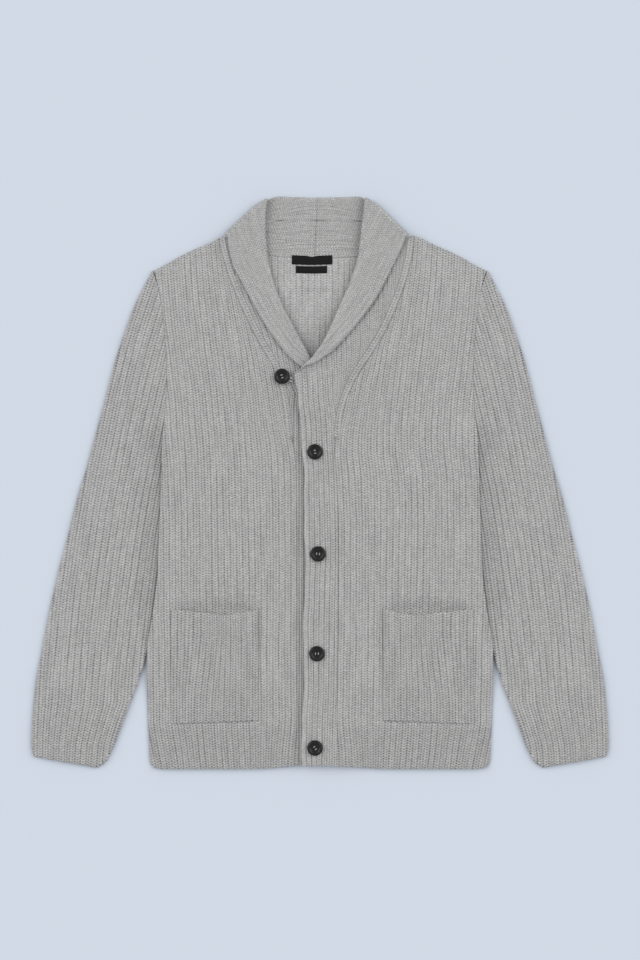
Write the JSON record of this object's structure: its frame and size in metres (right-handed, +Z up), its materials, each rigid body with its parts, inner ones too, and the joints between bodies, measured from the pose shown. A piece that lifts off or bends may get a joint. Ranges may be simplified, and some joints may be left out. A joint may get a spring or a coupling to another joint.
{
  "type": "shawl collar cardigan",
  "caption": "Buttoned shawl collar cardigan in thick light grey rib knit with patch pockets, laid flat on its back.",
  "frame": {"origin": "on the surface the cardigan lies on, under the middle of its outline", "axes": "+X towards the wearer's left, +Y from the hem to the collar, +Z up from the surface"},
  "size_m": [0.76, 0.7539, 0.0225],
  "materials": {
    "grey_melange_wool": "heavy rib knit",
    "black_button": "polished",
    "black_woven_tape": "woven satin"
  },
  "bodies": {
    "root": {"back": "grey_melange_wool", "front_left": "grey_melange_wool", "front_right": "grey_melange_wool", "sleeve_left": "grey_melange_wool", "sleeve_right": "grey_melange_wool", "band_collar_left": "grey_melange_wool", "band_collar_right": "grey_melange_wool", "pocket_left": "grey_melange_wool", "pocket_right": "grey_melange_wool", "button_loop": "grey_melange_wool", "button_1": "black_button", "button_2": "black_button", "button_3": "black_button", "button_4": "black_button", "button_5": "black_button", "label_main": "black_woven_tape", "label_size": "black_woven_tape"}
  },
  "joints": []
}
